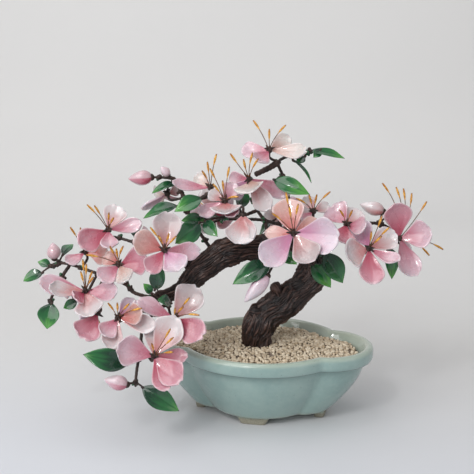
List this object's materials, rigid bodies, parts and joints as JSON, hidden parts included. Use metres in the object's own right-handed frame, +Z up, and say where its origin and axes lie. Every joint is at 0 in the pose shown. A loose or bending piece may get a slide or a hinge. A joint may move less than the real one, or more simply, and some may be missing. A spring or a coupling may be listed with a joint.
{
  "type": "glass blossom bonsai ornament in a pot",
  "caption": "Ornamental cherry blossom bonsai: glass petals and leaves on tape-wrapped wire twigs, a bark trunk and gravel in a lobed glazed pot on bracket feet.",
  "frame": {"origin": "the middle of the whole object's box, on the surface it stands on", "axes": "+Z up, +X along the pot's length, towards its plain right end, +Y towards the back"},
  "size_m": [0.3412, 0.174, 0.247],
  "materials": {
    "glaze": "gloss",
    "gravel": "matte",
    "bark": "matte",
    "leaf_glass": "gloss",
    "petal_glass": "gloss",
    "stamen": "gloss"
  },
  "bodies": {
    "root": {"pot": "glaze", "gravel": "gravel", "trunk": "bark", "spray_back": "leaf_glass", "spray_crown": "leaf_glass", "spray_front": "leaf_glass", "spray_left": "leaf_glass", "spray_low": "leaf_glass", "spray_middle": "leaf_glass", "spray_right": "leaf_glass", "spray_top": "leaf_glass", "spray_upper_left": "leaf_glass", "bloom_01_petals": "petal_glass", "bloom_01_stamens": "stamen", "bloom_02_petals": "petal_glass", "bloom_02_stamens": "stamen", "bloom_03_petals": "petal_glass", "bloom_03_stamens": "stamen", "bloom_04_petals": "petal_glass", "bloom_04_stamens": "stamen", "bloom_05_petals": "petal_glass", "bloom_05_stamens": "stamen", "bloom_06_petals": "petal_glass", "bloom_06_stamens": "stamen", "bloom_07_petals": "petal_glass", "bloom_07_stamens": "stamen", "bloom_08_petals": "petal_glass", "bloom_08_stamens": "stamen", "bloom_09_petals": "petal_glass", "bloom_09_stamens": "stamen", "bloom_10_petals": "petal_glass", "bloom_10_stamens": "stamen", "bloom_11_petals": "petal_glass", "bloom_11_stamens": "stamen", "bloom_12_petals": "petal_glass", "bloom_12_stamens": "stamen", "bloom_13_petals": "petal_glass", "bloom_13_stamens": "stamen", "bloom_14_petals": "petal_glass", "bloom_14_stamens": "stamen", "bloom_15_petals": "petal_glass", "bloom_15_stamens": "stamen", "bloom_16_petals": "petal_glass", "bloom_16_stamens": "stamen", "bloom_17_petals": "petal_glass", "bloom_17_stamens": "stamen", "bloom_18_petals": "petal_glass", "bloom_18_stamens": "stamen", "bloom_19_petals": "petal_glass", "bloom_19_stamens": "stamen", "bloom_20_petals": "petal_glass", "bloom_20_stamens": "stamen", "bloom_21_petals": "petal_glass", "bloom_21_stamens": "stamen", "bloom_22_petals": "petal_glass", "bloom_22_stamens": "stamen"}
  },
  "joints": []
}
